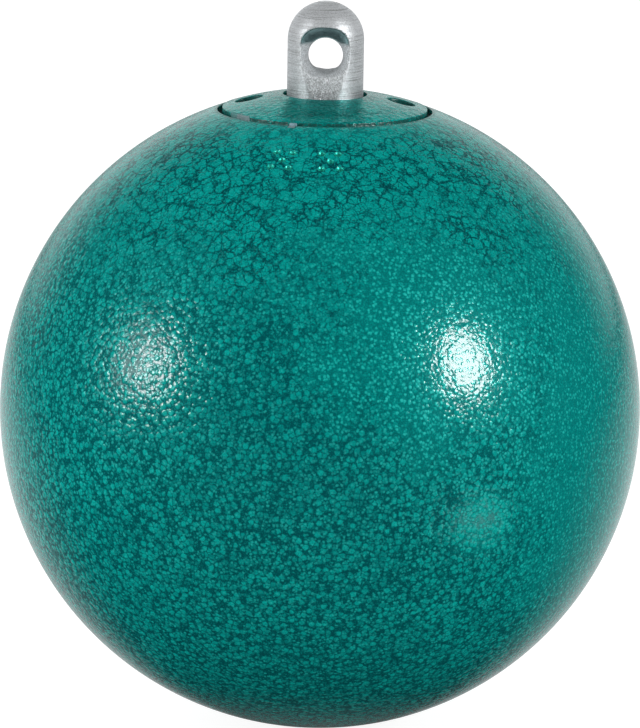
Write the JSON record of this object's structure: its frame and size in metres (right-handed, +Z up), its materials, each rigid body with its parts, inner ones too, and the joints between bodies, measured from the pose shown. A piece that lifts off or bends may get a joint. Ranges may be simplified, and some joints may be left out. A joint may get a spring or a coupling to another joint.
{
  "type": "throwing hammer head",
  "caption": "Painted hollow metal ball with a screwed-in steel swivel, whose bell-mouthed eye takes the wire of a throwing hammer",
  "frame": {"origin": "middle of the small flat at the bottom of the ball, on the surface that the head stands on", "axes": "+Z up along the swivel's axis, through the middle of the ball and the stem; the wire eye is bored along Y and the spanner holes lie on X"},
  "size_m": [0.095, 0.095, 0.1081],
  "materials": {
    "hammertone_paint": "gloss teal hammertone enamel",
    "turned_steel": "turned, fine rings",
    "bearing_steel": "ground and polished",
    "bronze": "machined",
    "seal_rubber": "matte",
    "gasket_fibre": "matte fibre",
    "ballast_metal": "as cast"
  },
  "bodies": {
    "head": {"head_shell": "hammertone_paint", "ballast": "ballast_metal", "swivel_cap": "hammertone_paint", "cap_lock_key": "turned_steel", "cap_gasket": "gasket_fibre", "stem_bushing": "bronze", "stem_seal": "seal_rubber", "upper_race": "bearing_steel"},
    "swivel": {"swivel_stem": "turned_steel", "lower_race": "bearing_steel", "thrust_washer": "turned_steel", "castle_nut": "turned_steel", "cotter_pin": "turned_steel"},
    "bearing": {"bearing_cage": "bronze", "bearing_ball_1": "bearing_steel", "bearing_ball_2": "bearing_steel", "bearing_ball_3": "bearing_steel", "bearing_ball_4": "bearing_steel", "bearing_ball_5": "bearing_steel", "bearing_ball_6": "bearing_steel", "bearing_ball_7": "bearing_steel", "bearing_ball_8": "bearing_steel", "bearing_ball_9": "bearing_steel"}
  },
  "joints": [
    {"name": "swivel_spin", "type": "hinge", "parent": "head", "child": "swivel", "pos_m": [0, 0, 0.1], "axis": [0, 0, 1], "continuous": true},
    {"name": "cage_spin", "type": "hinge", "parent": "head", "child": "bearing", "pos_m": [0, 0, 0.079], "axis": [0, 0, 1], "continuous": true}
  ],
  "couplings": [
    {"joint": "cage_spin", "follows": "swivel_spin", "ratio": 0.5}
  ]
}
